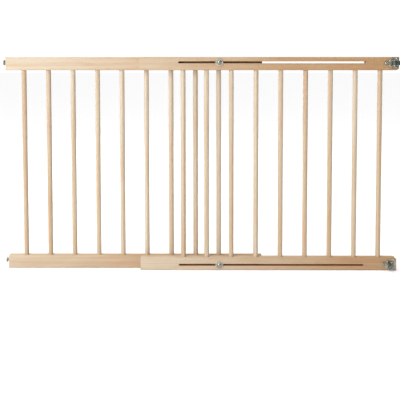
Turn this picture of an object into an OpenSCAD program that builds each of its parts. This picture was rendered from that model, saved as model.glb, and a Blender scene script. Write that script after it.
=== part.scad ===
// Two-panel wooden stair gate. The front panel slides sideways along the rear
// one to set the width, and two clamp bolts with wing nuts lock it.
// X runs along the width, Y from the front to the back, Z up.

/* [Gate] */
// Height of the gate
gate_h = 600; // [450:10:900]
// Width of the woodwork as it is set here
wood_w = 1098; // [900:2:1200]
// Length of each panel
panel_len = 720; // [700:5:760]
// Clearance between the two panels
panel_gap = 0.5; // [0.4:0.1:1]

/* [Rails] */
// Height of a rail
rail_h = 37; // [34:1:45]
// Thickness of a rail
rail_t = 20; // [18:1:26]
// Radius of a rail's eased long edges
edge_r = 1.8; // [1:0.1:3]
// Radius of a front rail's inner corner at the hinge end
corner_r = 8; // [4:1:12]

/* [Spindles] */
// Number of spindles in each panel
spindle_n = 9; // [5:1:9]
// Diameter of a spindle
spindle_d = 14; // [10:0.5:14]
// Distance from one spindle to the next
spindle_pitch = 69.1; // [60:0.1:70]
// The same at the end where the panels overlap
last_pitch = 65.5; // [60:0.1:70]
// First spindle of the rear panel, from the latch end
rear_first = 49; // [40:1:60]
// First spindle of the front panel, from the hinge end
front_first = 50; // [48:1:70]
// Depth of a spindle's blind hole
socket_depth = 12; // [8:1:12]

/* [Slots and clamp bolts] */
// Height of a slot
slot_h = 5.4; // [5.4:0.1:7]
// Length of a slot
slot_len = 520; // [400:10:530]
// Distance from a slot to the hinge end of its rail
slot_from_hinge = 92; // [80:1:100]
// Distance from the slot's middle to the rail's outer edge
slot_from_edge = 15; // [14:0.5:16]
// Distance from a clamp bolt to the overlap end of the rear rails
bolt_from_end = 120; // [60:1:140]
// Diameter of a clamp bolt
bolt_d = 4.8; // [4.4:0.1:4.8]
// Diameter of a clamp bolt's domed head
dome_d = 13.5; // [11:0.5:15]
// Height of the domed head
dome_h = 4.2; // [3:0.1:5]
// Diameter of the front washer
front_washer_d = 22; // [18:1:24]
// Diameter of the back washer
back_washer_d = 18; // [14:1:22]
// Thickness of the washers
washer_t = 1.5; // [1:0.1:2]

/* [Wing nut] */
// Diameter of the wing nut's base
nut_d = 12; // [10:0.5:14]
// Height of the wing nut's hub
nut_h = 7.5; // [6:0.5:10]
// Width across the two wings
wing_span = 28; // [24:1:29]
// Height of a wing above the base
wing_h = 15; // [12:1:18]
// Thickness of a wing
wing_t = 2.4; // [1.8:0.1:3]

/* [Hinge] */
// Thickness of the hinge plate, its ears and the wall leaf
sheet_t = 2; // [1.5:0.1:2]
// Width of the plate's head, at the rail's end
head_w = 20; // [18:1:24]
// Height of the plate's head
head_h = 32; // [28:1:34]
// Length of the plate's tapered tail
tail_len = 21; // [16:1:30]
// Diameter of the hinge pin
pin_d = 5; // [4:0.1:5]
// Distance from the pin to the rail's end
pin_from_end = 14; // [12:1:16]
// Height of the wall leaf
leaf_h = 12; // [10:0.5:12]
// Distance from the pin to the leaf's far end
leaf_reach = 40; // [30:1:60]
// Distance between the leaf's two screw holes
leaf_hole_pitch = 13.5; // [10:0.5:18]
// How far each hinge sits from its rail's middle, towards the outer edge
hinge_offset = 1.5; // [0:0.5:2]
// Angle that the lower leaf is turned to, from the width towards the front
lower_leaf_turn = 120; // [90:5:150]

/* [Latch] */
// Diameter of a latch stud's head
stud_head_d = 15; // [10:0.5:18]
// Distance from the rail's end to the stud's outer face
stud_out = 8.5; // [7:0.5:12]
// Diameter of the stud's neck
stud_neck_d = 5; // [4:0.5:6]
// How far each stud sits above its rail's middle
stud_rise = 3; // [-3:0.5:4]

/* [Hidden] */
$fn = 48;
// Clearance round a piece fixed in its hole, and between flat moving faces
fit_gap = 0.05;
face_gap = 0.1;
// Clearance between a curved piece and the face that it sweeps past
sweep_gap = 0.3;

// The hinge: the leaf's rolled eye runs on the pin, just in front of the plate
eye_r = pin_d / 2 + fit_gap + sheet_t + 0.45;
pin_out = sheet_t + sweep_gap + eye_r;
ear_gap = leaf_h + 2 * 0.2;
pin_head_h = 1.6;
pin_head_d = 7.5;
clip_t = 1;
clip_d = 9;

// The whole gate's box is centred on X = 0 and Y = 0 and stands on Z = 0
total_w = stud_out + wood_w - pin_from_end + leaf_reach;
rear_x0 = -total_w / 2 + stud_out;
rear_x1 = rear_x0 + panel_len;
front_x1 = rear_x0 + wood_w;
front_x0 = front_x1 - panel_len;
leaf_depth = leaf_reach * sin(lower_leaf_turn) - eye_r * cos(lower_leaf_turn);
front_depth = panel_gap / 2 + rail_t + pin_out + leaf_depth;
bolt_tail = 4;
back_depth = panel_gap / 2 + rail_t + washer_t + max(face_gap + wing_h, nut_h + bolt_tail);
mid_y = (front_depth - back_depth) / 2;
front_face_y = mid_y - panel_gap / 2 - rail_t;
front_back_y = mid_y - panel_gap / 2;
rear_face_y = mid_y + panel_gap / 2;
rear_back_y = rear_face_y + rail_t;

// Heights of the rails' undersides, their middles and the slots
bottom_z = 0;
top_z = gate_h - rail_h;
function rail_mid(z) = z + rail_h / 2;
upper_hinge_z = rail_mid(top_z) + hinge_offset;
lower_hinge_z = rail_mid(bottom_z) - hinge_offset;
upper_slot_z = gate_h - slot_from_edge;
lower_slot_z = slot_from_edge;

bolt_x = rear_x1 - bolt_from_end;
slot_x1 = front_x1 - slot_from_hinge;
slot_x0 = slot_x1 - slot_len;

// Spindles, counted from the latch end in the rear panel and from the hinge
// end in the front panel
function spindle_step(i) = i * spindle_pitch - (i == spindle_n - 1 ? spindle_pitch - last_pitch : 0);
function rear_spindle_x(i) = rear_x0 + rear_first + spindle_step(i);
function front_spindle_x(i) = front_x1 - front_first - spindle_step(i);
rear_mid_y = (rear_face_y + rear_back_y) / 2;
front_mid_y = (front_face_y + front_back_y) / 2;

pin_x = front_x1 - pin_from_end;
pin_y = front_face_y - pin_out;

// The plate's screws as [distance from the rail's end, height from the middle]
screw_spots = [[6.5, 12], [6.5, -12],
               [head_w + 4, 6.5], [head_w + 4, -6.5], [head_w + tail_len - 5, 0]];
screw_d = 3;
screw_head_d = 6.4;
screw_head_h = 1.6;
screw_len = 14;

stud_screw_d = 4;
stud_screw_len = 30;
stud_washer_t = 1.5;
stud_washer_d = 13;
stud_head_h = 3.5;
leaf_hole_d = 4.5;
leaf_hole_edge = 7;
tail_tip_r = 6;

pine = "burlywood";
pale_pine = "wheat";
zinc = "lightsteelblue";
steel = "silver";

// ---- Woodwork ----

// A bar along X with its four long edges eased, from x0 at height z
module eased_bar(x0, len, y, z) {
    translate([x0, y, z]) rotate([90, 0, 90]) linear_extrude(len) union() {
        translate([edge_r, 0]) square([rail_t - 2 * edge_r, rail_h]);
        translate([0, edge_r]) square([rail_t, rail_h - 2 * edge_r]);
        for (u = [edge_r, rail_t - edge_r], v = [edge_r, rail_h - edge_r])
            translate([u, v]) circle(edge_r);
    }
}

// A cylinder along +Y
module bar_y(x, y, z, r, len) {
    translate([x, y, z]) rotate([-90, 0, 0]) cylinder(r = r, h = len);
}

// Blind holes for the spindles, in the edge that faces the other rail
module sockets(z, xs, y) {
    from_z = z == bottom_z ? z + rail_h - socket_depth : z - 1;
    for (x = xs)
        translate([x, y, from_z]) cylinder(r = spindle_d / 2 + fit_gap, h = socket_depth + 1);
}

module rear_rail(z, bolt_z) {
    color(pine) difference() {
        eased_bar(rear_x0, panel_len, rear_face_y, z);
        sockets(z, [for (i = [0 : spindle_n - 1]) rear_spindle_x(i)], rear_mid_y);
        bar_y(bolt_x, rear_face_y - 1, bolt_z, bolt_d / 2 + fit_gap, rail_t + 2);
        translate([rear_x0 - 1, rear_mid_y, rail_mid(z) + stud_rise]) rotate([0, 90, 0])
            cylinder(r = stud_screw_d / 2 + fit_gap, h = stud_screw_len + 2);
    }
}

module slot_cut(z) {
    for (x = [slot_x0 + slot_h / 2, slot_x1 - slot_h / 2])
        bar_y(x, front_face_y - 1, z, slot_h / 2, rail_t + 2);
    translate([slot_x0 + slot_h / 2, front_face_y - 1, z - slot_h / 2])
        cube([slot_len - slot_h, rail_t + 2, slot_h]);
}

// Rounds off the inner corner at the hinge end
module inner_corner_cut(z) {
    top = z == bottom_z;
    corner_z = top ? z + rail_h : z;
    centre_z = corner_z + (top ? -corner_r : corner_r);
    difference() {
        translate([front_x1 - corner_r, front_face_y - 1, min(corner_z, centre_z) - (top ? 0 : 1)])
            cube([corner_r + 1, rail_t + 2, corner_r + 1]);
        bar_y(front_x1 - corner_r, front_face_y - 2, centre_z, corner_r, rail_t + 4);
    }
}

module front_rail(z, slot_z, hinge_z) {
    color(pine) difference() {
        eased_bar(front_x0, panel_len, front_face_y, z);
        sockets(z, [for (i = [0 : spindle_n - 1]) front_spindle_x(i)], front_mid_y);
        slot_cut(slot_z);
        inner_corner_cut(z);
        for (s = screw_spots)
            bar_y(front_x1 - s[0], front_face_y - 1, hinge_z + s[1], screw_d / 2 + fit_gap,
                  screw_len + 1.5);
    }
}

module spindle(x, y) {
    color(pale_pine) translate([x, y, rail_h - socket_depth + fit_gap])
        cylinder(r = spindle_d / 2, h = gate_h - 2 * (rail_h - socket_depth + fit_gap));
}

// ---- Clamp bolts and wing nuts ----

module washer(z, y, d) {
    color(steel) difference() {
        bar_y(bolt_x, y, z, d / 2, washer_t);
        bar_y(bolt_x, y - 1, z, bolt_d / 2 + 0.3, washer_t + 2);
    }
}

module clamp_bolt(z) {
    head_y = front_face_y - face_gap - washer_t;
    dome_r = (pow(dome_d / 2, 2) + pow(dome_h, 2)) / (2 * dome_h);
    color(zinc) union() {
        bar_y(bolt_x, head_y - 0.5, z, bolt_d / 2,
              rear_back_y + washer_t + nut_h + bolt_tail - head_y + 0.5);
        intersection() {
            translate([bolt_x, head_y - dome_h + dome_r, z]) sphere(dome_r);
            bar_y(bolt_x, head_y - dome_h - 1, z, dome_d / 2 + 1, dome_h + 1);
        }
    }
}

// One wing: a plate that rises outwards from the hub to a round lobe
module wing_outline() {
    lobe_r = 4;
    translate([wing_span / 2 - lobe_r, wing_h - lobe_r]) circle(lobe_r);
    polygon([[nut_d / 2 - 2.2, 0.5], [nut_d / 2 - 0.4, 0.5], [wing_span / 2 - 0.9, wing_h - 6.5],
             [wing_span / 2 - 6.8, wing_h - 1.2], [nut_d / 2 - 2.2, 6.5]]);
}

module wing_nut(z) {
    y = rear_back_y + washer_t + face_gap;
    color(zinc) difference() {
        union() {
            translate([bolt_x, y, z]) rotate([-90, 0, 0])
                cylinder(r1 = nut_d / 2, r2 = nut_d / 2 - 1.6, h = nut_h);
            for (side = [0, 1]) translate([bolt_x, y, z]) mirror([side, 0, 0])
                translate([0, 0, -wing_t / 2]) linear_extrude(wing_t) wing_outline();
        }
        bar_y(bolt_x, y - 1, z, bolt_d / 2 + fit_gap, nut_h + 2);
    }
}

// ---- Hinges ----

// The plate's outline, from the rail's end inwards: a square head and a
// tapered tail with a round tip
module plate_outline() {
    translate([-head_w, -head_h / 2]) square([head_w, head_h]);
    tip_x = -head_w - tail_len + tail_tip_r;
    translate([tip_x, 0]) circle(tail_tip_r);
    polygon([[-head_w, -head_h / 2 + 4], [-head_w, head_h / 2 - 4],
             [tip_x - 1, tail_tip_r - 0.1], [tip_x - 1, -tail_tip_r + 0.1]]);
}

// One ear of the clevis, with a round nose about the pin
module ear(zc, side) {
    base = zc + (side > 0 ? ear_gap / 2 : -ear_gap / 2 - sheet_t);
    nose_r = eye_r - 0.3;
    translate([pin_x, pin_y, base]) cylinder(r = nose_r, h = sheet_t);
    translate([pin_x - nose_r, pin_y, base])
        cube([2 * nose_r, front_face_y - pin_y - sheet_t / 2, sheet_t]);
}

module hinge_plate(zc) {
    color(zinc) difference() {
        union() {
            translate([front_x1, front_face_y, zc]) rotate([90, 0, 0])
                linear_extrude(sheet_t) plate_outline();
            for (side = [-1, 1]) ear(zc, side);
        }
        translate([pin_x, pin_y, zc - ear_gap]) cylinder(r = pin_d / 2 + fit_gap, h = 2 * ear_gap);
        for (s = screw_spots)
            bar_y(front_x1 - s[0], front_face_y - sheet_t - 1, zc + s[1], screw_d / 2 + 0.2,
                  sheet_t + 2);
    }
}

// A pan-head screw, drawn along -Y from the plate's face
module pan_screw() {
    shank = screw_len - 3;
    rotate([90, 0, 0]) {
        cylinder(r1 = screw_head_d / 2, r2 = screw_head_d / 2 - 1, h = screw_head_h);
        translate([0, 0, -shank]) cylinder(r = screw_d / 2, h = shank + 0.5);
        translate([0, 0, -screw_len]) cylinder(r1 = 0.3, r2 = screw_d / 2, h = screw_len - shank);
    }
}

module hinge_screws(zc) {
    color(steel) for (s = screw_spots)
        translate([front_x1 - s[0], front_face_y - sheet_t, zc + s[1]]) pan_screw();
}

module hinge_pin(zc) {
    reach = ear_gap / 2 + sheet_t;
    color(steel) translate([pin_x, pin_y, zc]) union() {
        translate([0, 0, -reach - clip_t - 1.5]) cylinder(r = pin_d / 2, h = 2 * reach + clip_t + 2);
        translate([0, 0, reach]) cylinder(r1 = pin_head_d / 2, r2 = pin_head_d / 2 - 0.6, h = pin_head_h);
    }
}

// The spring clip under the lower ear, open on one side
module pin_clip(zc) {
    z = zc - ear_gap / 2 - sheet_t - clip_t;
    color(steel) translate([pin_x, pin_y, z]) difference() {
        cylinder(r = clip_d / 2, h = clip_t - fit_gap);
        translate([0, 0, -1]) cylinder(r = pin_d / 2 + fit_gap, h = clip_t + 2);
        translate([-1.6, -clip_d, -1]) cube([3.2, clip_d, clip_t + 2]);
    }
}

// A leaf with its rolled eye on the pin, drawn pointing along +X and turned by angle
module wall_leaf(zc, angle) {
    holes = [leaf_reach - leaf_hole_edge, leaf_reach - leaf_hole_edge - leaf_hole_pitch];
    end_r = leaf_h / 2;
    color(steel) translate([pin_x, pin_y, zc]) rotate([0, 0, angle]) difference() {
        union() {
            translate([0, 0, -leaf_h / 2]) cylinder(r = eye_r, h = leaf_h);
            translate([0, eye_r - sheet_t, -leaf_h / 2]) cube([leaf_reach - end_r, sheet_t, leaf_h]);
            bar_y(leaf_reach - end_r, eye_r - sheet_t, 0, end_r, sheet_t);
        }
        translate([0, 0, -leaf_h]) cylinder(r = pin_d / 2 + fit_gap, h = 2 * leaf_h);
        for (x = holes) bar_y(x, eye_r - sheet_t - 1, 0, leaf_hole_d / 2, sheet_t + 2);
    }
}

// ---- Latch studs, in the end grain of the rear rails ----

module latch_stud(zc) {
    neck = stud_out - stud_head_h;
    color(zinc) translate([rear_x0, rear_mid_y, zc]) rotate([0, -90, 0]) union() {
        translate([0, 0, -stud_screw_len]) cylinder(r = stud_screw_d / 2, h = stud_screw_len + 1);
        translate([0, 0, fit_gap]) cylinder(r = stud_neck_d / 2, h = neck);
        translate([0, 0, neck]) cylinder(r = stud_head_d / 2, h = stud_head_h - 1.2);
        translate([0, 0, stud_out - 1.2])
            cylinder(r1 = stud_head_d / 2, r2 = stud_head_d / 2 - 1.2, h = 1.2);
    }
}

module stud_washer(zc) {
    color(steel) translate([rear_x0, rear_mid_y, zc]) rotate([0, -90, 0]) difference() {
        cylinder(r = stud_washer_d / 2, h = stud_washer_t);
        translate([0, 0, -1]) cylinder(r = stud_neck_d / 2 + 0.2, h = stud_washer_t + 2);
    }
}

// ---- One line for each node ----

rear_rail(top_z, upper_slot_z);  // rear_top_rail
rear_rail(bottom_z, lower_slot_z);  // rear_bottom_rail
front_rail(top_z, upper_slot_z, upper_hinge_z);  // front_top_rail
front_rail(bottom_z, lower_slot_z, lower_hinge_z);  // front_bottom_rail
for (i = [1 : spindle_n]) {
    spindle(rear_spindle_x(i - 1), rear_mid_y);
    spindle(front_spindle_x(i - 1), front_mid_y);
}
clamp_bolt(upper_slot_z);  // upper_clamp_bolt
clamp_bolt(lower_slot_z);  // lower_clamp_bolt
washer(upper_slot_z, front_face_y - face_gap - washer_t, front_washer_d);  // upper_front_washer
washer(lower_slot_z, front_face_y - face_gap - washer_t, front_washer_d);  // lower_front_washer
washer(upper_slot_z, rear_back_y, back_washer_d);  // upper_back_washer
washer(lower_slot_z, rear_back_y, back_washer_d);  // lower_back_washer
wing_nut(upper_slot_z);  // upper_wing_nut
wing_nut(lower_slot_z);  // lower_wing_nut
hinge_plate(upper_hinge_z);  // upper_hinge_plate
hinge_plate(lower_hinge_z);  // lower_hinge_plate
hinge_screws(upper_hinge_z);  // upper_hinge_screws
hinge_screws(lower_hinge_z);  // lower_hinge_screws
hinge_pin(upper_hinge_z);  // upper_hinge_pin
hinge_pin(lower_hinge_z);  // lower_hinge_pin
pin_clip(upper_hinge_z);  // upper_pin_clip
pin_clip(lower_hinge_z);  // lower_pin_clip
wall_leaf(upper_hinge_z, 0);  // upper_wall_leaf
wall_leaf(lower_hinge_z, -lower_leaf_turn);  // lower_wall_leaf
latch_stud(rail_mid(top_z) + stud_rise);  // upper_latch_stud
latch_stud(rail_mid(bottom_z) + stud_rise);  // lower_latch_stud
stud_washer(rail_mid(top_z) + stud_rise);  // upper_stud_washer
stud_washer(rail_mid(bottom_z) + stud_rise);  // lower_stud_washer
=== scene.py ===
"""Looks for a two-panel wooden stair gate: pine rails and spindles, zinc-plated fittings."""

import math
import random

import bmesh
import bpy
from mathutils import Matrix, Vector


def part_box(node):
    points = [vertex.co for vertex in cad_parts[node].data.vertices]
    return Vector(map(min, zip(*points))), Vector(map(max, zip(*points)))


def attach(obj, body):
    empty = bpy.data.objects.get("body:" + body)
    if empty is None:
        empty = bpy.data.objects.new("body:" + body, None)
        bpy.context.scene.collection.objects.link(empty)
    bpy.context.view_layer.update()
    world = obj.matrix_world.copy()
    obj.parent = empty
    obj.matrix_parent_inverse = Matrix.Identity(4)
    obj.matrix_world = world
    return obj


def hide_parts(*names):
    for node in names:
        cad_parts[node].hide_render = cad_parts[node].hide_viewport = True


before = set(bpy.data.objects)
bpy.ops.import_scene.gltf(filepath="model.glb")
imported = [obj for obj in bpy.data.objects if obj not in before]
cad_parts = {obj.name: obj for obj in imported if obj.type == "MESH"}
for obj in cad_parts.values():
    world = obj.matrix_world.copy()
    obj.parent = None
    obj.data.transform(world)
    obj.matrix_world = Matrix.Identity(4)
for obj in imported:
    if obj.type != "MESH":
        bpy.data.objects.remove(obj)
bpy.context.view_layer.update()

MM = 0.001
LEVELS = ("upper", "lower")
SPINDLES = range(1, 10)

# Woodwork sizes
LONG_EDGE = 1.8 * MM
SAWN_EDGE = 0.6 * MM
CORNER_R = 8 * MM
SLOT_H = 5.4 * MM
SLOT_LEN = 520 * MM
SLOT_FROM_HINGE = 92 * MM
SLOT_FROM_EDGE = 15 * MM
SLOT_EDGE = 0.4 * MM
MOST_BOW = 0.25 * MM

# The log that the wood comes from, and how far from its pith the boards lie
LOG_HALF_LEN = 4000 * MM
PITH_NEAR = 45 * MM
PITH_FAR = 110 * MM

# Fitting sizes
BOLT_R = 2.4 * MM
THREAD_PITCH = 0.8 * MM
THREAD_DEPTH = 0.4 * MM
THREAD_LEN = 24 * MM
WASHER_BORE = 2.7 * MM
ROLLED_EDGE = 0.3 * MM
STAMPED_EDGE = 0.35 * MM
CLIP_EDGE = 0.15 * MM

# Mesh limits: points closer than WELD are one, and angles are in radians
WELD = 0.001 * MM
SMOOTH_BELOW = 0.7
SHARP_ABOVE = 0.9

random.seed(11)


# ---- Mesh helpers ----

def finish_piece(name, bm, material, body, node):
    """Turns a bmesh into a piece that rides on a body and stands for a CAD node."""
    for edge in bm.edges:
        edge.smooth = len(edge.link_faces) == 2 and edge.calc_face_angle(0) < SMOOTH_BELOW
    for face in bm.faces:
        face.smooth = True
    mesh = bpy.data.meshes.new(name)
    bm.to_mesh(mesh)
    bm.free()
    mesh.materials.append(material)
    piece = bpy.data.objects.new(name, mesh)
    bpy.context.scene.collection.objects.link(piece)
    even = piece.modifiers.new("even shading", "WEIGHTED_NORMAL")
    even.keep_sharp = True
    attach(piece, body)
    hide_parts(node)
    return piece


def ease(bm, edges, width, segments=2):
    """Rounds the given edges over."""
    bmesh.ops.bevel(bm, geom=list(edges), offset=width, offset_type="OFFSET", affect="EDGES",
                    segments=segments, profile=0.5, material=-1, clamp_overlap=True)


def sharp_edges(bm, least=SHARP_ABOVE):
    """Edges where two faces meet at more than the given angle, in radians."""
    return [e for e in bm.edges if len(e.link_faces) == 2 and e.calc_face_angle(0) > least]


def box_mesh(low, high):
    """A bmesh box between two corners."""
    bm = bmesh.new()
    bmesh.ops.create_cube(bm, size=1.0)
    size = high - low
    bmesh.ops.scale(bm, vec=size, verts=bm.verts)
    bmesh.ops.translate(bm, vec=(low + high) / 2, verts=bm.verts)
    return bm


def turned(profile, foot, axis, closed=False, steps=48):
    """A lathe-turned piece: (radius, height) points spun round the axis that starts at foot."""
    bm = bmesh.new()
    verts = [bm.verts.new((r, 0, h)) for r, h in profile]
    pairs = list(zip(verts, verts[1:])) + ([(verts[-1], verts[0])] if closed else [])
    edges = [bm.edges.new(pair) for pair in pairs]
    bmesh.ops.spin(bm, geom=verts + edges, cent=(0, 0, 0), axis=(0, 0, 1), dvec=(0, 0, 0),
                   angle=2 * math.pi, steps=steps, use_merge=True, use_duplicate=False)
    bmesh.ops.remove_doubles(bm, verts=bm.verts, dist=2 * WELD)
    bmesh.ops.dissolve_degenerate(bm, edges=bm.edges, dist=WELD)
    bmesh.ops.recalc_face_normals(bm, faces=bm.faces)
    turn = Vector((0, 0, 1)).rotation_difference(Vector(axis)).to_matrix().to_4x4()
    bmesh.ops.transform(bm, matrix=Matrix.Translation(foot) @ turn, verts=bm.verts)
    return bm


def dome(radius, height, base, steps):
    """Profile points of a domed cap, from its rim at height base to its crown."""
    ball = (radius ** 2 + height ** 2) / (2 * height)
    rim_angle = math.asin(radius / ball)
    points = []
    for i in range(steps + 1):
        angle = rim_angle * (1 - i / steps)
        points.append((ball * math.sin(angle), base + height - ball + ball * math.cos(angle)))
    points[-1] = (0, base + height)
    return points


def thread(radius, start, length):
    """Profile points of a screw thread along a shank, from start upwards."""
    points = []
    turns = int(length / THREAD_PITCH)
    for i in range(turns):
        z = start + i * THREAD_PITCH
        points += [(radius - THREAD_DEPTH, z), (radius, z + 0.4 * THREAD_PITCH),
                   (radius, z + 0.6 * THREAD_PITCH)]
    return points + [(radius - THREAD_DEPTH, start + turns * THREAD_PITCH)]


def wood_thread(radius, start, pitch, flank, turns):
    """Profile points of a wood screw's thread: ridges with a plain root between them.

    flank is how far along the screw a ridge rises, and then falls."""
    root = 0.72 * radius
    points = []
    for i in range(turns):
        z = start + i * pitch
        points += [(root, z), (radius, z + flank), (root, z + 2 * flank)]
    return points


def merged_copy(node):
    """A copy of a CAD node's mesh with its triangles joined into whole faces."""
    bm = bmesh.new()
    bm.from_mesh(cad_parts[node].data)
    bmesh.ops.remove_doubles(bm, verts=bm.verts, dist=WELD)
    bmesh.ops.dissolve_limit(bm, angle_limit=0.01, verts=bm.verts, edges=bm.edges)
    return bm


def join_bm(target, other):
    """Adds another bmesh's faces to target."""
    mesh = bpy.data.meshes.new("part")
    other.to_mesh(mesh)
    other.free()
    target.from_mesh(mesh)
    bpy.data.meshes.remove(mesh)


# ---- Shader helpers ----

class Value:
    """An output socket that takes part in sums: each operator adds a Math node."""

    def __init__(self, finish, socket):
        self.finish = finish
        self.socket = socket

    def math(self, operation, *others):
        """Adds a Math node that works on this value and the others."""
        inputs = dict(enumerate((self,) + others))
        return self.finish.node("ShaderNodeMath", {"operation": operation}, inputs)

    def __add__(self, other):
        return self.math("ADD", other)

    def __mul__(self, other):
        return self.math("MULTIPLY", other)

    def __sub__(self, other):
        return self.math("SUBTRACT", other)

    def __rsub__(self, other):
        return self.finish.node("ShaderNodeMath", {"operation": "SUBTRACT"}, {0: other, 1: self})

    def part(self, axis):
        """One number of a vector: 0 for X, 1 for Y, 2 for Z."""
        return self.finish.node("ShaderNodeSeparateXYZ", {}, {0: self}, output=axis)

    __radd__ = __add__
    __rmul__ = __mul__


class Finish:
    """The node tree of a material or of the world."""

    def __init__(self, owner):
        self.owner = owner
        owner.use_nodes = True
        self.tree = owner.node_tree
        self.tree.nodes.clear()

    def node(self, kind, settings=None, inputs=None, output=0):
        """Adds a node: its settings first, then its sockets' values or links. Returns an output."""
        node = self.tree.nodes.new(kind)
        for key, value in (settings or {}).items():
            setattr(node, key, value)
        for key, value in (inputs or {}).items():
            if isinstance(value, Value):
                self.tree.links.new(value.socket, node.inputs[key])
            else:
                node.inputs[key].default_value = value
        return Value(self, node.outputs[output]) if node.outputs else None

    def mix(self, factor, first, second, blend="MIX"):
        """Mixes two colours."""
        return self.node("ShaderNodeMix", {"data_type": "RGBA", "blend_type": blend},
                         {0: factor, 6: first, 7: second}, output=2)

    def noise(self, place, scale, detail=3.0, roughness=0.55):
        """Smooth noise from 0 to 1. Its scale is about how many features there are to the metre."""
        return self.node("ShaderNodeTexNoise", {}, {"Vector": place, "Scale": scale,
                                                    "Detail": detail, "Roughness": roughness})

    def ease_in(self, value, low, high, to_low=0.0, to_high=1.0):
        """Maps a value from one range to another, smoothly and clamped."""
        return self.node("ShaderNodeMapRange", {"interpolation_type": "SMOOTHSTEP"},
                         {0: value, 1: low, 2: high, 3: to_low, 4: to_high})

    def surface(self, **sockets):
        """Ends the material with a principled shader. Underscores stand for spaces."""
        inputs = {key.replace("_", " "): value for key, value in sockets.items()}
        shader = self.node("ShaderNodeBsdfPrincipled", {}, inputs)
        self.node("ShaderNodeOutputMaterial", {}, {"Surface": shader})
        return self.owner


def rgb(red, green, blue):
    """A solid colour, as the sockets take it."""
    return (red, green, blue, 1.0)


# ---- Finishes ----

def pine(name, along, ring_gap, tone_low, tone_high, drift, sink, edge_shade):
    """Planed pine cut from a log: growth rings, fibres and slow tone changes along the grain.

    along is the grain's axis, 0 for X or 2 for Z. A piece's "board" attribute says where in the
    log it was cut, and its "tone" attribute how deep its own tone is. drift and sink say how
    much the tone deepens towards the hinge end and towards the floor; towards the hinge end this
    is partly the wood's own tone and partly painted shade, the falloff of light away from the
    latch end. edge_shade darkens the eased edges with painted shade, most of all those that face
    down, and faces marked "slot_shade" get painted shade in the slot, darker and warmer as with
    light bounced inside it."""
    f = Finish(bpy.data.materials.new(name))
    place = f.node("ShaderNodeTexCoord", output="Object")
    board = f.node("ShaderNodeAttribute", {"attribute_name": "board"}, output="Vector")
    in_log = f.node("ShaderNodeVectorMath", {"operation": "ADD"}, {0: place, 1: board})

    def stretched(lengthwise):
        """The place in the log, scaled along the grain so that a pattern is drawn out."""
        scale = [1.0, 1.0, 1.0]
        scale[along] = lengthwise
        return f.node("ShaderNodeMapping", {}, {"Vector": in_log, "Scale": scale})

    def multiply_in(factor, colour, multiplier):
        """The colour, multiplied by another colour as far as the factor says: used for the wood's
        stains and also for painted shade.
        """
        return f.mix(factor, colour, f.mix(1.0, colour, multiplier, "MULTIPLY"))

    # Growth rings: at a scale of 1 the texture's rings are 2 pi / 20 apart
    rings = f.node("ShaderNodeTexWave",
                   {"wave_type": "RINGS", "rings_direction": "XYZ"[along], "wave_profile": "SAW"},
                   {"Vector": stretched(0.045), "Scale": 2 * math.pi / (20 * ring_gap),
                    "Distortion": 5.0, "Detail": 2.0, "Detail Scale": 0.16, "Detail Roughness": 0.45},
                   output="Fac")
    late_wood = f.ease_in(rings, 0.40, 0.95)

    # Figure that runs with the grain
    fibres = f.noise(stretched(0.02), scale=900.0, detail=3.0, roughness=0.6)
    streaks = f.noise(stretched(0.03), scale=95.0, detail=4.0, roughness=0.55)
    blush = f.noise(stretched(0.05), scale=150.0, detail=2.0, roughness=0.5)
    clouds = f.noise(stretched(0.25), scale=14.0, detail=2.0, roughness=0.5)
    specks = f.noise(stretched(0.06), scale=520.0, detail=1.0, roughness=0.4)
    flecks = f.ease_in(specks, 0.70, 0.80)

    # Depth of tone, from the low tone at 0 to the high tone at 1. Its deepening towards the hinge end
    # is partly the wood's own tone and partly painted shade, the falloff of light away from the latch
    # end
    hinge_end = f.ease_in(place.part(0), -0.65, 0.72)
    floor_end = f.ease_in(place.part(2), 0.60, 0.05)
    own_tone = f.node("ShaderNodeAttribute", {"attribute_name": "tone"}, output="Fac")
    tone = hinge_end * drift + floor_end * sink + clouds * 0.5 - 0.22 + own_tone

    # The figure, laid over the tone one stain after another
    colour = f.mix(tone, tone_low, tone_high)
    colour = multiply_in(f.ease_in(streaks, 0.35, 0.72) * 0.75, colour, rgb(0.90, 0.80, 0.66))
    colour = multiply_in(late_wood * 0.7, colour, rgb(0.86, 0.72, 0.54))
    colour = multiply_in(f.ease_in(blush, 0.50, 0.72) * 0.8, colour, rgb(1.00, 0.86, 0.84))
    colour = multiply_in(f.ease_in(fibres, 0.42, 0.75) * 0.4, colour, rgb(0.88, 0.80, 0.70))
    colour = multiply_in(flecks * 0.45, colour, rgb(0.62, 0.45, 0.30))

    # End grain, painted shade on the eased edges, most of all those that face down, and painted shade
    # in the slot
    facing = f.node("ShaderNodeTexCoord", output="Normal")
    end_grain = f.ease_in(facing.part(along).math("ABSOLUTE"), 0.75, 0.95)
    colour = multiply_in(end_grain * 0.7, colour, rgb(0.84, 0.74, 0.62))
    sideways = facing.part(1).math("ABSOLUTE")
    eased = f.ease_in(sideways, 0.05, 0.40) * (1 - f.ease_in(sideways, 0.70, 0.97))
    under = f.ease_in(facing.part(2), 0.0, -0.4, to_low=0.25, to_high=1.0)
    # Painted shade: the eased edges are darkened, most of all those that face down
    colour = multiply_in(eased * under * edge_shade, colour, rgb(0.66, 0.62, 0.58))
    # Painted shade in the slot: its walls darker and warmer, standing in for shade and light bounced
    # inside it
    slot_shade = f.node("ShaderNodeAttribute", {"attribute_name": "slot_shade"}, output="Fac")
    colour = multiply_in(slot_shade, colour, rgb(1.0, 0.64, 0.34))

    height = fibres * 0.6 + late_wood * 0.4
    bump = f.node("ShaderNodeBump", {}, {"Strength": 0.22, "Distance": 0.15 * MM, "Height": height})
    roughness = 0.50 + streaks * 0.16 + end_grain * 0.15
    return f.surface(Base_Color=colour, Roughness=roughness, Normal=bump, IOR=1.45,
                     Specular_IOR_Level=0.32)


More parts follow.
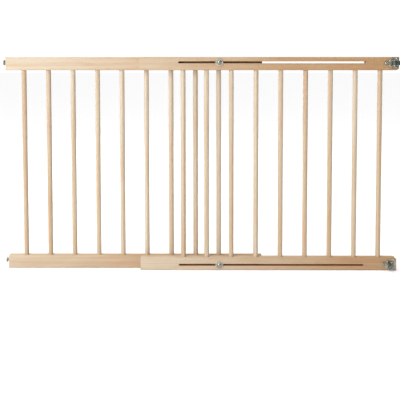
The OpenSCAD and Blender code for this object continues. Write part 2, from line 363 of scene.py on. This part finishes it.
def zinc_plate(name, bright, dark, rough, brushed):
    """Zinc plate on steel: faint spangle, handling marks and a rubbed sheen."""
    f = Finish(bpy.data.materials.new(name))
    place = f.node("ShaderNodeTexCoord", output="Object")
    blotches = f.noise(place, scale=130.0, detail=4.0, roughness=0.6)
    spangle = f.node("ShaderNodeTexVoronoi", {"feature": "F1"},
                     {"Vector": place, "Scale": 420.0, "Randomness": 1.0}, output="Distance")
    rubbed = f.node("ShaderNodeMapping", {}, {"Vector": place, "Scale": (0.12, 1.0, 1.0)})
    scratches = f.noise(rubbed, scale=2600.0, detail=2.0, roughness=0.5)
    colour = f.mix(f.ease_in(blotches, 0.3, 0.7), bright, dark)
    tinted = f.mix(f.ease_in(spangle, 0.2, 0.75) * 0.35, colour,
                   f.mix(1.0, colour, rgb(0.86, 0.88, 0.90), "MULTIPLY"))
    roughness = rough + blotches * 0.16 + scratches * brushed
    height = scratches * 0.5 + blotches * 0.5
    bump = f.node("ShaderNodeBump", {}, {"Strength": 0.12, "Distance": 0.05 * MM, "Height": height})
    return f.surface(Base_Color=tinted, Metallic=1.0, Roughness=roughness, Normal=bump)


def studio_floor():
    """A plain pale floor with a trace of unevenness."""
    f = Finish(bpy.data.materials.new("studio_floor"))
    place = f.node("ShaderNodeTexCoord", output="Object")
    mottle = f.noise(place, scale=3.0)
    colour = f.mix(mottle, rgb(0.955, 0.95, 0.945), rgb(0.975, 0.97, 0.965))
    return f.surface(Base_Color=colour, Roughness=0.9)


RAIL_PINE = pine("pine_rail", along=0, ring_gap=3.4 * MM, tone_low=rgb(0.58, 0.515, 0.42),
                 tone_high=rgb(0.375, 0.215, 0.09), drift=0.9, sink=0.0, edge_shade=1.0)
SPINDLE_PINE = pine("pine_spindle", along=2, ring_gap=2.6 * MM, tone_low=rgb(0.60, 0.555, 0.468),
                    tone_high=rgb(0.515, 0.41, 0.30), drift=0.5, sink=0.3, edge_shade=0.0)
SHEET_ZINC = zinc_plate("sheet_zinc", rgb(0.47, 0.42, 0.32), rgb(0.26, 0.24, 0.175),
                        rough=0.27, brushed=0.10)
LEAF_STEEL = zinc_plate("leaf_steel", rgb(0.125, 0.155, 0.15), rgb(0.065, 0.088, 0.084),
                        rough=0.32, brushed=0.10)
BRIGHT_ZINC = zinc_plate("bright_zinc", rgb(0.44, 0.42, 0.36), rgb(0.27, 0.26, 0.21),
                         rough=0.16, brushed=0.06)
DULL_ZINC = zinc_plate("dull_zinc", rgb(0.53, 0.46, 0.38), rgb(0.43, 0.38, 0.31),
                       rough=0.44, brushed=0.08)
FASTENER_ZINC = zinc_plate("fastener_zinc", rgb(0.34, 0.37, 0.32), rgb(0.22, 0.24, 0.20),
                           rough=0.16, brushed=0.06)


def from_log(piece, tone):
    """Gives a wooden piece its own stretch of the log, darker where tone is higher."""
    lengthwise = random.uniform(-LOG_HALF_LEN, LOG_HALF_LEN)
    angle = random.uniform(0.15, 0.85) * math.pi
    pith = random.uniform(PITH_NEAR, PITH_FAR)
    across, up = pith * math.cos(angle), pith * math.sin(angle)
    middle = sum((Vector(c) for c in piece.bound_box), Vector()) / 8
    if piece.dimensions.z > piece.dimensions.x:
        shift = Vector((across - middle.x, up - middle.y, lengthwise))
    else:
        shift = Vector((lengthwise, across - middle.y, up - middle.z))
    board = piece.data.attributes.new("board", "FLOAT_VECTOR", "POINT")
    board.data.foreach_set("vector", list(shift) * len(piece.data.vertices))
    own_tone = piece.data.attributes.new("tone", "FLOAT", "POINT")
    own_tone.data.foreach_set("value", [tone] * len(piece.data.vertices))
    return piece


# ---- Woodwork ----

# How much deeper in tone than the rest a board or a spindle is. Negative is paler.
BOARD_TONES = {"rear_top_rail": 0.0, "rear_bottom_rail": 0.17,
               "front_top_rail": 0.0, "front_bottom_rail": -0.19}
DOWEL_TONES = {"rear_spindle_1": 0.7, "rear_spindle_2": 0.55, "rear_spindle_3": 0.3,
               "rear_spindle_6": -0.2, "front_spindle_1": 0.15, "front_spindle_4": 0.5}


def near(a, b, tolerance=20 * WELD):
    """Whether two coordinates are in the same place."""
    return abs(a - b) < tolerance


def cut_slot(bm, low, high, slot_z):
    """Cuts a round-ended slot through the rail from front to back."""
    x1 = high.x - SLOT_FROM_HINGE
    x0 = x1 - SLOT_LEN
    z0, z1 = slot_z - SLOT_H / 2, slot_z + SLOT_H / 2
    for point, normal in (((x0, 0, 0), (1, 0, 0)), ((x1, 0, 0), (1, 0, 0)),
                          ((0, 0, z0), (0, 0, 1)), ((0, 0, z1), (0, 0, 1))):
        bmesh.ops.bisect_plane(bm, geom=bm.verts[:] + bm.edges[:] + bm.faces[:],
                               plane_co=point, plane_no=normal, dist=WELD)

    slack = 10 * WELD

    def in_slot(co):
        """Whether a point is inside the slot's outline, seen from the front."""
        return x0 - slack < co.x < x1 + slack and z0 - slack < co.z < z1 + slack

    mouths = [f for f in bm.faces if in_slot(f.calc_center_median()) and abs(f.normal.y) > 0.9]
    rims = {e for f in mouths for e in f.edges}
    bmesh.ops.delete(bm, geom=mouths, context="FACES_ONLY")
    bmesh.ops.bridge_loops(bm, edges=list(rims))
    corners = [e for e in bm.edges if in_slot(e.verts[0].co) and in_slot(e.verts[1].co)
               and abs(e.verts[0].co.y - e.verts[1].co.y) > 0.5 * (high.y - low.y)]
    just_under_half = 0.498 * SLOT_H
    ease(bm, corners, just_under_half, 8)
    mouth_edges = [e for e in sharp_edges(bm)
                   if all(in_slot(v.co) and (near(v.co.y, low.y) or near(v.co.y, high.y))
                          for v in e.verts)]
    ease(bm, mouth_edges, SLOT_EDGE, 2)


def paint_slot_shade(piece, slot_z):
    """Marks the slot's walls for painted shade: darker and warmer, as with light bounced inside the
    slot.
    """
    slot_shade = piece.data.attributes.new("slot_shade", "FLOAT", "FACE")
    for face in piece.data.polygons:
        at_slot = abs(face.center.z - slot_z) < 0.6 * SLOT_H
        is_wall = abs(face.normal.x) < 0.9 and abs(face.normal.y) < 0.5
        slot_shade.data[face.index].value = float(at_slot and is_wall)


def rail(node, body, tone, slot_z=None):
    """A planed rail with eased edges. A front rail has a slot and one rounded inner corner."""
    low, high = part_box(node)

    def at_end(edge, x):
        """Whether a whole edge lies in one of the rail's end faces."""
        return all(near(v.co.x, x) for v in edge.verts)

    bm = box_mesh(low, high)
    if slot_z is not None:
        inner_z = low.z if slot_z > (low.z + high.z) / 2 else high.z
        corner = [e for e in bm.edges
                  if at_end(e, high.x) and all(near(v.co.z, inner_z) for v in e.verts)]
        ease(bm, corner, CORNER_R, 8)
    outline = [e for e in bm.edges if near(e.verts[0].co.y, e.verts[1].co.y)
               and not at_end(e, low.x) and not at_end(e, high.x)]
    ease(bm, outline, LONG_EDGE, 4)
    ends = [e for e in sharp_edges(bm, 0.6) if at_end(e, low.x) or at_end(e, high.x)]
    ease(bm, ends, SAWN_EDGE, 2)
    if slot_z is not None:
        cut_slot(bm, low, high, slot_z)
    piece = from_log(finish_piece(node + "_board", bm, RAIL_PINE, body, node), tone)
    # The slot's walls get painted shade
    if slot_z is not None:
        paint_slot_shade(piece, slot_z)


def spindle(node, body):
    """A turned spindle, very slightly bowed, which stays inside its sockets' bore."""
    low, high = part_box(node)
    radius = (high.x - low.x) / 2
    bow = random.uniform(-MOST_BOW, MOST_BOW)
    lean = random.uniform(0, math.pi)
    stages = 10
    bm = bmesh.new()
    made = bmesh.ops.create_circle(bm, cap_ends=True, segments=32, radius=radius - abs(bow))
    foot = ((low.x + high.x) / 2, (low.y + high.y) / 2, low.z)
    bmesh.ops.translate(bm, vec=foot, verts=made["verts"])
    ring = bm.faces[:]
    for stage in range(stages):
        grown = bmesh.ops.extrude_face_region(bm, geom=ring)
        verts = [g for g in grown["geom"] if isinstance(g, bmesh.types.BMVert)]
        bulge = math.sin(math.pi * (stage + 1) / stages) - math.sin(math.pi * stage / stages)
        step = Vector((bow * bulge * math.cos(lean), bow * bulge * math.sin(lean),
                       (high.z - low.z) / stages))
        bmesh.ops.translate(bm, vec=step, verts=verts)
        if stage:
            bmesh.ops.delete(bm, geom=ring, context="FACES_ONLY")
        ring = [g for g in grown["geom"] if isinstance(g, bmesh.types.BMFace)]
    bmesh.ops.recalc_face_normals(bm, faces=bm.faces)
    tone = random.uniform(0.02, 0.25) + DOWEL_TONES.get(node, 0.0)
    from_log(finish_piece(node + "_dowel", bm, SPINDLE_PINE, body, node), tone)


for panel in ("rear", "front"):
    body = panel + "_panel"
    for side in ("top", "bottom"):
        node = f"{panel}_{side}_rail"
        low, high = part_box(node)
        slot_z = high.z - SLOT_FROM_EDGE if side == "top" else low.z + SLOT_FROM_EDGE
        rail(node, body, BOARD_TONES[node], slot_z if panel == "front" else None)
    for i in SPINDLES:
        spindle(f"{panel}_spindle_{i}", body)


# ---- Clamp bolts, washers and wing nuts ----

def washer(node, body, at_end=False):
    """A flat washer with rolled edges, under a bolt's head or nut, or at a rail's end."""
    low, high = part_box(node)
    middle = (low + high) / 2
    radius = (high.z - low.z) / 2
    if at_end:
        foot = Vector((high.x, middle.y, middle.z))
        axis = (-1, 0, 0)
        thick = high.x - low.x
    else:
        foot = Vector((middle.x, low.y, middle.z))
        axis = (0, 1, 0)
        thick = high.y - low.y
    outline = [(WASHER_BORE, 0), (radius, 0), (radius, thick), (WASHER_BORE, thick)]
    bm = turned(outline, foot, axis, closed=True)
    ease(bm, sharp_edges(bm), ROLLED_EDGE, 3)
    finish_piece(node + "_ring", bm, DULL_ZINC, body, node)


def clamp_bolt(node, body):
    """A dome-headed bolt, threaded over its far half, seen past the wing nut."""
    low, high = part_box(node)
    head_r = (high.z - low.z) / 2
    head_h = 4.2 * MM
    rim_h = 0.4 * MM
    thread_z = 0.7 * MM
    plain_z = high.y - low.y - head_h
    foot = Vector(((low.x + high.x) / 2, high.y, (low.z + high.z) / 2))
    tip = [(0, 0), (BOLT_R - 0.9 * MM, 0), (BOLT_R - THREAD_DEPTH, 0.6 * MM)]
    shank = thread(BOLT_R, thread_z, THREAD_LEN)
    shank += [(BOLT_R, thread_z + THREAD_LEN + THREAD_PITCH), (BOLT_R, plain_z)]
    rim = [(head_r - rim_h, plain_z), (head_r, plain_z + rim_h)]
    crown = dome(head_r, head_h - rim_h, plain_z + rim_h, steps=10)[1:]
    bm = turned(tip + shank + rim + crown, foot, (0, -1, 0), steps=40)
    finish_piece(node + "_bolt", bm, FASTENER_ZINC, body, node)


def wing(side, foot, span, height, thick):
    """One wing of a wing nut: a plate that leans out from the hub to a round lobe.

    Its outline is in fractions of half the span and of the height."""
    bm = bmesh.new()
    outline = [(0.20, 0.04), (0.36, 0.04), (0.62, 0.28), (0.90, 0.62), (1.0, 0.82), (0.94, 0.97),
               (0.78, 1.0), (0.62, 0.88), (0.46, 0.62), (0.30, 0.46), (0.20, 0.44)]
    half = span / 2
    verts = [bm.verts.new((side * u * half, 0, v * height)) for u, v in outline]
    face = bm.faces.new(verts)
    grown = bmesh.ops.extrude_face_region(bm, geom=[face])
    lifted = [g for g in grown["geom"] if isinstance(g, bmesh.types.BMVert)]
    bmesh.ops.translate(bm, vec=(0, thick, 0), verts=lifted)
    bmesh.ops.translate(bm, vec=(0, -thick / 2, 0), verts=bm.verts)
    bmesh.ops.recalc_face_normals(bm, faces=bm.faces)
    ease(bm, sharp_edges(bm, 1.2), thick * 0.42, 3)
    bmesh.ops.transform(bm, matrix=Matrix.Translation(foot) @ Matrix.Rotation(-math.pi / 2, 4, "X"),
                        verts=bm.verts)
    return bm


def wing_nut(node, body):
    """A cast wing nut: a tapered hub with two wings."""
    low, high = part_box(node)
    foot = Vector(((low.x + high.x) / 2, low.y, (low.z + high.z) / 2))
    hub_r = (high.z - low.z) / 2
    hub_h = 7.5 * MM
    wing_thick = 2.4 * MM
    bore = BOLT_R + 0.05 * MM
    profile = [(bore, 0), (hub_r - 0.3 * MM, 0), (hub_r, 0.4 * MM), (hub_r - 0.5 * MM, 2.2 * MM),
               (hub_r - 1.3 * MM, hub_h - 0.8 * MM), (hub_r - 2 * MM, hub_h), (bore + 0.4 * MM, hub_h),
               (bore, hub_h - 0.4 * MM)]
    bm = turned(profile, foot, (0, 1, 0), closed=True, steps=40)
    for side in (-1, 1):
        join_bm(bm, wing(side, foot, high.x - low.x, high.y - low.y, wing_thick))
    finish_piece(node + "_casting", bm, FASTENER_ZINC, body, node)


for level in LEVELS:
    clamp_bolt(f"{level}_clamp_bolt", "rear_panel")
    washer(f"{level}_front_washer", "rear_panel")
    washer(f"{level}_back_washer", "rear_panel")
    wing_nut(f"{level}_wing_nut", f"{level}_nut")


# ---- Hinges ----

def stamped(node, body, material, width=STAMPED_EDGE, suffix="_sheet"):
    """A pressed-steel piece: its CAD shape with the stamped edges eased."""
    bm = merged_copy(node)
    ease(bm, sharp_edges(bm, 1.0), width, 2)
    finish_piece(node + suffix, bm, material, body, node)


def cross_recess_cutters(centre, size, depth):
    """Two crossed bars that cut a cross recess."""
    width = 0.24 * size
    bm = bmesh.new()
    for turn in (0, math.pi / 2):
        made = bmesh.ops.create_cube(bm, size=1.0)["verts"]
        bmesh.ops.scale(bm, vec=(size, depth * 2, width), verts=made)
        bmesh.ops.rotate(bm, matrix=Matrix.Rotation(turn, 3, "Y"), verts=made)
        bmesh.ops.translate(bm, vec=centre, verts=made)
    return bm


def cut_recesses(piece, cutters):
    """Cuts the recesses into the screw heads and keeps the result as the piece's mesh."""
    mesh = bpy.data.meshes.new("cutters")
    cutters.to_mesh(mesh)
    cutters.free()
    tool = bpy.data.objects.new("cutters", mesh)
    bpy.context.scene.collection.objects.link(tool)
    cut = piece.modifiers.new("recess", "BOOLEAN")
    cut.operation = "DIFFERENCE"
    cut.solver = "EXACT"
    cut.use_self = True
    cut.object = tool
    bpy.context.view_layer.update()
    evaluated = piece.evaluated_get(bpy.context.evaluated_depsgraph_get())
    carved = bpy.data.meshes.new_from_object(evaluated)
    piece.modifiers.remove(cut)
    old = piece.data
    piece.data = carved
    bpy.data.meshes.remove(old)
    bpy.data.objects.remove(tool)
    bpy.data.meshes.remove(mesh)


def screw_places(node):
    """The X and Z of each screw in a group."""
    bm = bmesh.new()
    bm.from_mesh(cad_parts[node].data)
    bmesh.ops.remove_doubles(bm, verts=bm.verts, dist=WELD)
    places = []
    left = set(bm.verts)
    while left:
        island = {left.pop()}
        to_follow = list(island)
        while to_follow:
            for edge in to_follow.pop().link_edges:
                for v in edge.verts:
                    if v in left:
                        left.discard(v)
                        island.add(v)
                        to_follow.append(v)
        xs = [v.co.x for v in island]
        zs = [v.co.z for v in island]
        places.append(((min(xs) + max(xs)) / 2, (min(zs) + max(zs)) / 2))
    bm.free()
    return sorted(places)


def hinge_screws(node, body):
    """Pan-head wood screws with cross recesses, threaded below the head."""
    low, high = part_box(node)
    head_r = 3.2 * MM
    head_h = 1.6 * MM
    rim_h = 0.25 * MM
    shank_r = 1.5 * MM
    length = high.y - low.y - head_h
    tip = [(0, 0), (0.25 * MM, 0.2 * MM), (0.7 * shank_r, 2.6 * MM)]
    shank = wood_thread(shank_r, start=3 * MM, pitch=1.1 * MM, flank=0.45 * MM, turns=7)
    shank += [(shank_r, length - 0.5 * MM), (shank_r, length)]
    rim = [(head_r - 0.15 * MM, length), (head_r, length + rim_h)]
    crown = dome(head_r, head_h - rim_h, length + rim_h, steps=6)[1:]
    profile = tip + shank + rim + crown
    screws = bmesh.new()
    cutters = bmesh.new()
    for x, z in screw_places(node):
        join_bm(screws, turned(profile, Vector((x, high.y, z)), (0, -1, 0), steps=28))
        head_middle = Vector((x, low.y, z))
        join_bm(cutters, cross_recess_cutters(head_middle, size=3 * MM, depth=0.9 * MM))
    piece = finish_piece(node + "_set", screws, BRIGHT_ZINC, body, node)
    cut_recesses(piece, cutters)


def hinge_pin(node, body):
    """A hinge pin with a low domed head and a chamfered foot."""
    low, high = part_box(node)
    middle = (low + high) / 2
    head_r = (high.x - low.x) / 2
    head_h = 1.6 * MM
    rim_h = 0.3 * MM
    pin_r = 2.5 * MM
    chamfer = 0.5 * MM
    length = high.z - low.z - head_h
    pin = [(0, 0), (pin_r - chamfer, 0), (pin_r, chamfer), (pin_r, length)]
    rim = [(head_r - 0.2 * MM, length), (head_r, length + rim_h)]
    crown = dome(head_r, head_h - rim_h, length + rim_h, steps=6)[1:]
    bm = turned(pin + rim + crown, Vector((middle.x, middle.y, low.z)), (0, 0, 1), steps=36)
    finish_piece(node + "_rivet", bm, BRIGHT_ZINC, body, node)


for level in LEVELS:
    stamped(f"{level}_hinge_plate", "front_panel", SHEET_ZINC)
    stamped(f"{level}_wall_leaf", f"{level}_leaf", LEAF_STEEL)
    stamped(f"{level}_pin_clip", "front_panel", BRIGHT_ZINC, CLIP_EDGE, "_ring")
    hinge_screws(f"{level}_hinge_screws", "front_panel")
    hinge_pin(f"{level}_hinge_pin", "front_panel")


# ---- Latch studs ----

def latch_stud(node, body):
    """A stud with a flat, dimpled head on a neck, screwed into the end grain."""
    low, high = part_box(node)
    head_r = (high.z - low.z) / 2
    head_h = 3.5 * MM
    stick_out = 8.5 * MM
    neck_r = 2.5 * MM
    fillet = 0.4 * MM
    screw_r = 2 * MM
    dimple_r = 2.2 * MM
    dimple_depth = 0.5 * MM
    foot = Vector((high.x, (low.y + high.y) / 2, (low.z + high.z) / 2))
    length = high.x - low.x
    wood_z = length - stick_out
    under_z = length - head_h
    tip = [(0, 0), (0.3 * MM, 0.3 * MM), (0.7 * screw_r, 4 * MM)]
    shank = wood_thread(screw_r, start=4.5 * MM, pitch=1.4 * MM, flank=0.6 * MM, turns=16)
    shank += [(screw_r, wood_z - 1 * MM), (screw_r, wood_z)]
    neck = [(neck_r, wood_z), (neck_r, under_z - fillet), (neck_r + fillet, under_z)]
    head = [(head_r - 0.4 * MM, under_z), (head_r, under_z + 0.5 * MM),
            (head_r, length - 1.2 * MM), (head_r - 0.35 * MM, length - 0.5 * MM),
            (head_r - 1.2 * MM, length - 0.1 * MM), (head_r - 2.4 * MM, length)]
    dimple = [(dimple_r, length), (dimple_r - 0.4 * MM, length - dimple_depth),
              (0, length - dimple_depth)]
    bm = turned(tip + shank + neck + head + dimple, foot, (-1, 0, 0))
    finish_piece(node + "_turning", bm, FASTENER_ZINC, body, node)


for level in LEVELS:
    latch_stud(f"{level}_latch_stud", "rear_panel")
    washer(f"{level}_stud_washer", "rear_panel", at_end=True)


# ---- Studio ----

FLOOR_REACH = 60.0

# Each softbox: its name, its power in watts, its width and its place
SOFTBOXES = (("key", 98, 2.0, (-2.1, -2.4, 1.8)),
             ("glint", 3, 0.2, (2.2, -2.0, 1.5)),
             ("back_fill", 25, 2.0, (-1.8, 2.6, 1.8)))
LIT_POINT = Vector((0, 0, 0.3))
OVERHEAD_POWER = 1.65
OVERHEAD_SPREAD = math.radians(36)

# The viewpoint, from the front top rail's face and the middle of the woodwork
EYE_IN_FRONT = 1898 * MM
EYE_ASIDE = 51 * MM
EYE_HEIGHT = 574 * MM
LOOK_DOWN = math.radians(3.16)
LOOK_ASIDE = math.radians(0.16)
FOCAL_LENGTH = 61.5
SENSOR_WIDTH = 36
FRAME_SHIFT = (-0.0435, -0.24)


def lay_floor():
    """A pale floor, wide enough to reach the horizon."""
    bm = bmesh.new()
    bmesh.ops.create_grid(bm, x_segments=8, y_segments=8, size=FLOOR_REACH)
    mesh = bpy.data.meshes.new("floor")
    bm.to_mesh(mesh)
    bm.free()
    mesh.materials.append(studio_floor())
    floor = bpy.data.objects.new("floor", mesh)
    bpy.context.scene.collection.objects.link(floor)


def hang_lights():
    """A large softbox at the left, a small one at the right, a fill behind and one overhead."""
    for name, power, width, place in SOFTBOXES:
        lamp = bpy.data.lights.new(name, "AREA")
        lamp.energy = power
        lamp.size = width
        softbox = bpy.data.objects.new(name, lamp)
        softbox.location = place
        aim = LIT_POINT - softbox.location
        softbox.rotation_euler = aim.to_track_quat("-Z", "Y").to_euler()
        softbox.visible_camera = False
        bpy.context.scene.collection.objects.link(softbox)
    lamp = bpy.data.lights.new("overhead", "SUN")
    lamp.energy = OVERHEAD_POWER
    lamp.angle = OVERHEAD_SPREAD
    bpy.context.scene.collection.objects.link(bpy.data.objects.new("overhead", lamp))


def surround():
    """Soft light from above and from the latch end, with a plain white backdrop."""
    world = bpy.data.worlds.new("studio")
    bpy.context.scene.world = world
    f = Finish(world)
    direction = f.node("ShaderNodeTexCoord", output="Generated")
    latch_side = f.ease_in(direction.part(0), 0.5, -0.8)
    overhead = f.ease_in(direction.part(2), 0.15, 0.75)
    light = 0.07 + latch_side * 0.30 + overhead * 0.42

    # The light falls on the gate, and the camera sees a plain white backdrop in its place
    around = f.node("ShaderNodeBackground", {}, {"Color": rgb(0.98, 0.99, 1.0), "Strength": light})
    backdrop = f.node("ShaderNodeBackground", {}, {"Color": rgb(1.0, 1.0, 1.0), "Strength": 1.05})
    seen = f.node("ShaderNodeLightPath", output="Is Camera Ray")
    shader = f.node("ShaderNodeMixShader", {}, {0: seen, 1: around, 2: backdrop})
    f.node("ShaderNodeOutputWorld", {}, {"Surface": shader})
    bpy.context.scene.view_settings.view_transform = "Standard"


def camera():
    """The viewpoint: just below the top of the gate, looking slightly down."""
    front_low, front_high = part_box("front_top_rail")
    rear_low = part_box("rear_top_rail")[0]
    middle_x = (rear_low.x + front_high.x) / 2
    lens = bpy.data.cameras.new("camera")
    lens.sensor_width = SENSOR_WIDTH
    lens.lens = FOCAL_LENGTH
    lens.shift_x, lens.shift_y = FRAME_SHIFT
    eye = bpy.data.objects.new("camera", lens)
    eye.location = (middle_x + EYE_ASIDE, front_low.y - EYE_IN_FRONT, EYE_HEIGHT)
    eye.rotation_euler = (math.pi / 2 - LOOK_DOWN, 0, LOOK_ASIDE)
    bpy.context.scene.collection.objects.link(eye)
    bpy.context.scene.camera = eye


lay_floor()
hang_lights()
surround()
camera()
